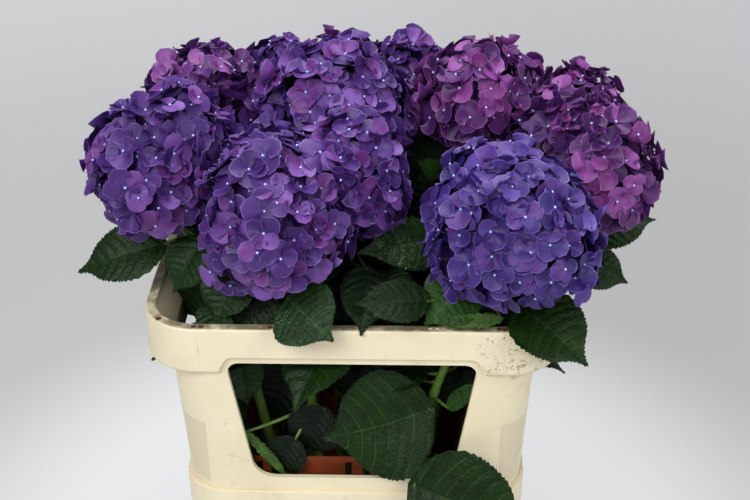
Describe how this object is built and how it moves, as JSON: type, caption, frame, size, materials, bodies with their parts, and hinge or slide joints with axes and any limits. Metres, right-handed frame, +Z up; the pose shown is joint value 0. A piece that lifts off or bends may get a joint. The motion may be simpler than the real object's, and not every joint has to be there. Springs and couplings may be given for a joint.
{
  "type": "bunch of hydrangeas in a windowed flower tub",
  "caption": "Mophead hydrangeas in violet and magenta with dark green leaves, standing in a cream plastic tub with windows and a terracotta inner tray.",
  "frame": {"origin": "middle of the tub's flat underside", "axes": "+Z up, -Y towards the tub's front window, +X towards the tub's right side as seen from the front"},
  "size_m": [0.5836, 0.455, 0.6083],
  "materials": {
    "tub_plastic": "used cream moulded plastic, scuffed, with dirt in its corners",
    "tray_plastic": "terracotta coloured moulded plastic, matte",
    "stem_wood": "fresh green stem, smooth with raised nodes",
    "leaf_foliage": "dark green leaf with quilted veins, slightly glossy",
    "petals": "violet sepals, soft and matte with paler rims"
  },
  "bodies": {
    "root": {"collar": "tub_plastic", "bucket": "tub_plastic", "inner_tray": "tray_plastic", "stem_01": "stem_wood", "stem_02": "stem_wood", "stem_03": "stem_wood", "stem_04": "stem_wood", "stem_05": "stem_wood", "stem_06": "stem_wood", "stem_07": "stem_wood", "stem_08": "stem_wood", "stem_09": "stem_wood", "stem_10": "stem_wood", "stem_11": "stem_wood", "stem_12": "stem_wood", "stem_13": "stem_wood", "stem_14": "stem_wood", "stem_15": "stem_wood", "stem_16": "stem_wood", "foliage_01": "leaf_foliage", "foliage_02": "leaf_foliage", "foliage_03": "leaf_foliage", "foliage_04": "leaf_foliage", "foliage_05": "leaf_foliage", "foliage_06": "leaf_foliage", "foliage_07": "leaf_foliage", "foliage_08": "leaf_foliage", "foliage_09": "leaf_foliage", "foliage_10": "leaf_foliage", "foliage_11": "leaf_foliage", "foliage_12": "leaf_foliage", "foliage_13": "leaf_foliage", "foliage_14": "leaf_foliage", "foliage_15": "leaf_foliage", "foliage_16": "leaf_foliage", "bloom_01": "petals", "bloom_02": "petals", "bloom_03": "petals", "bloom_04": "petals", "bloom_05": "petals", "bloom_06": "petals", "bloom_07": "petals", "bloom_08": "petals", "bloom_09": "petals", "bloom_10": "petals", "bloom_11": "petals", "bloom_12": "petals", "bloom_13": "petals", "bloom_14": "petals", "bloom_15": "petals", "bloom_16": "petals"}
  },
  "joints": []
}
